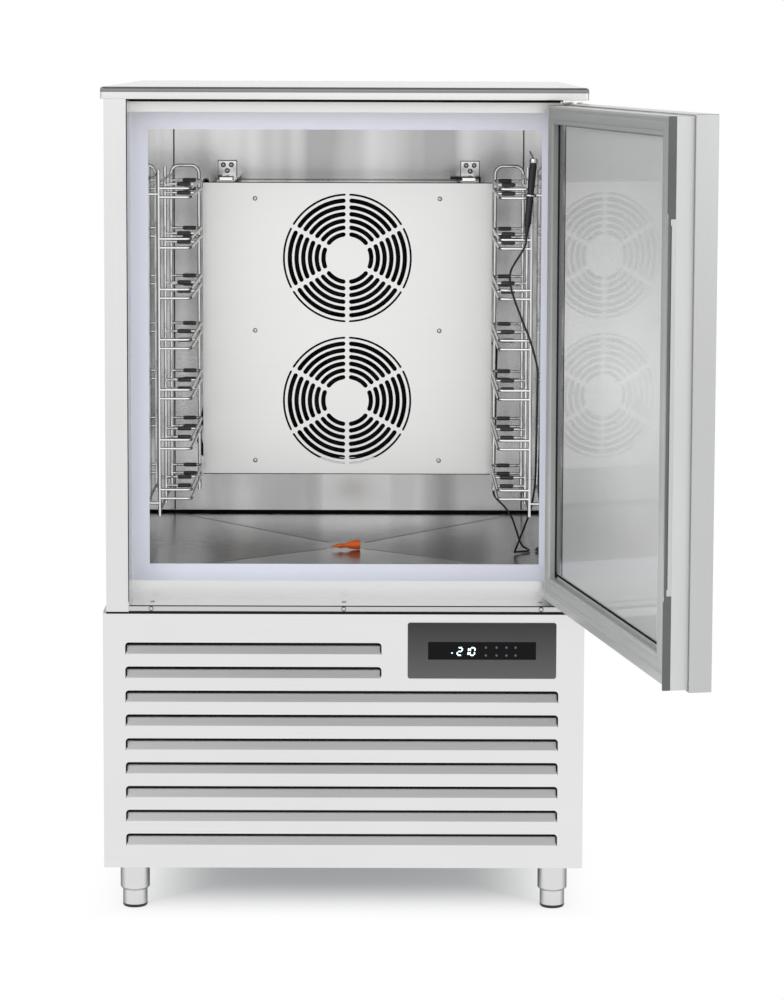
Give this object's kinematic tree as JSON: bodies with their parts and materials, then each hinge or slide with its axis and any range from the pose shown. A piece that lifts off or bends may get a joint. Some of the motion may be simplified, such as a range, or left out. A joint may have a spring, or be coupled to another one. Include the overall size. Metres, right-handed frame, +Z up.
{
  "type": "blast chiller",
  "caption": "Stainless steel blast chiller with an open insulated door, wire tray racks, twin fan grilles, core probe, louvred front and adjustable feet.",
  "frame": {"origin": "on the floor, under the middle of the cabinet's width and of the worktop's depth", "axes": "+Z up, +Y towards the back, +X to the right seen from the front; the door opens towards -Y"},
  "size_m": [0.936, 1.55, 1.386],
  "materials": {
    "brushed_steel": "satin brushed stainless steel",
    "bright_steel": "bright stainless wire",
    "liner_steel": "polished stainless liner sheet",
    "galvanised": "galvanised sheet",
    "core_board": "moisture-proof board",
    "foam": "rigid foam",
    "breaker_plastic": "pale blue-grey extruded plastic",
    "dark_plastic": "black moulded plastic",
    "grey_plastic": "dark grey plastic",
    "fascia": "dark grey brushed plate",
    "glass_black": "gloss black window",
    "gasket": "dark grey magnetic gasket",
    "cable": "black silicone cable",
    "orange_rubber": "orange rubber",
    "compressor_paint": "black enamel",
    "coil_fins": "bright fins",
    "copper": "copper tube",
    "foot_black": "black plastic foot"
  },
  "bodies": {
    "cabinet": {"worktop": "brushed_steel", "worktop_core": "core_board", "left_side_panel": "brushed_steel", "right_side_panel": "brushed_steel", "rear_panel": "galvanised", "cabinet_insulation": "foam", "chamber_liner": "liner_steel", "sump_floor": "liner_steel", "front_frame": "brushed_steel", "breaker_frame": "breaker_plastic", "sill_trim": "brushed_steel", "panel_screws": "bright_steel", "louvre_panel": "brushed_steel", "control_fascia": "fascia", "display_window": "glass_black", "control_box": "galvanised", "base_tray": "galvanised", "lower_left_panel": "brushed_steel", "lower_right_panel": "brushed_steel", "rear_grille": "galvanised", "compartment_deck": "galvanised", "fan_panel": "brushed_steel", "fan_panel_brackets": "bright_steel", "fan_rings": "dark_plastic", "fan_motors": "compressor_paint", "evaporator_coil": "coil_fins", "left_tray_rack": "bright_steel", "right_tray_rack": "bright_steel", "rack_sleeves": "grey_plastic", "probe_handle": "dark_plastic", "probe_needle": "bright_steel", "probe_clip": "bright_steel", "probe_cable": "cable", "cable_glands": "grey_plastic", "air_probe": "grey_plastic", "wiring_conduit": "dark_plastic", "drain_fitting": "bright_steel", "compressor": "compressor_paint", "compressor_mounts": "cable", "condenser_coil": "coil_fins", "condenser_shroud": "compressor_paint", "condenser_fan_motor": "compressor_paint", "liquid_receiver": "compressor_paint", "refrigerant_pipes": "copper", "hinge_brackets": "galvanised", "foot_sleeves": "brushed_steel"},
    "door": {"door_skin": "brushed_steel", "door_liner": "liner_steel", "door_insulation": "foam", "door_gasket": "gasket", "door_edge_strip": "gasket", "door_hinge_bushes": "bright_steel"},
    "upper_fan": {"upper_fan": "dark_plastic"},
    "lower_fan": {"lower_fan": "dark_plastic"},
    "condenser_fan": {"condenser_fan": "coil_fins"},
    "drain_plug": {"drain_plug": "orange_rubber"},
    "front_left_foot": {"front_left_foot": "foot_black"},
    "front_right_foot": {"front_right_foot": "foot_black"},
    "rear_left_foot": {"rear_left_foot": "foot_black"},
    "rear_right_foot": {"rear_right_foot": "foot_black"}
  },
  "joints": [
    {"name": "door_hinge", "type": "hinge", "parent": "cabinet", "child": "door", "pos_m": [0.377, -0.405, 0.94], "axis": [0, 0, 1], "range_deg": [-101, 14.5]},
    {"name": "upper_fan_spin", "type": "hinge", "parent": "cabinet", "child": "upper_fan", "pos_m": [0, 0.08, 1.073], "axis": [0, 1, 0], "continuous": true},
    {"name": "lower_fan_spin", "type": "hinge", "parent": "cabinet", "child": "lower_fan", "pos_m": [0, 0.08, 0.815], "axis": [0, 1, 0], "continuous": true},
    {"name": "condenser_fan_spin", "type": "hinge", "parent": "cabinet", "child": "condenser_fan", "pos_m": [-0.181, -0.29, 0.292], "axis": [0, 1, 0], "continuous": true},
    {"name": "drain_plug_lift", "type": "slide", "parent": "cabinet", "child": "drain_plug", "axis": [0, 0, 1], "range_m": [0, 0.06]},
    {"name": "front_left_foot_screw", "type": "slide", "parent": "cabinet", "child": "front_left_foot", "axis": [0, 0, -1], "range_m": [0, 0.025]},
    {"name": "front_right_foot_screw", "type": "slide", "parent": "cabinet", "child": "front_right_foot", "axis": [0, 0, -1], "range_m": [0, 0.025]},
    {"name": "rear_left_foot_screw", "type": "slide", "parent": "cabinet", "child": "rear_left_foot", "axis": [0, 0, -1], "range_m": [0, 0.025]},
    {"name": "rear_right_foot_screw", "type": "slide", "parent": "cabinet", "child": "rear_right_foot", "axis": [0, 0, -1], "range_m": [0, 0.025]}
  ]
}
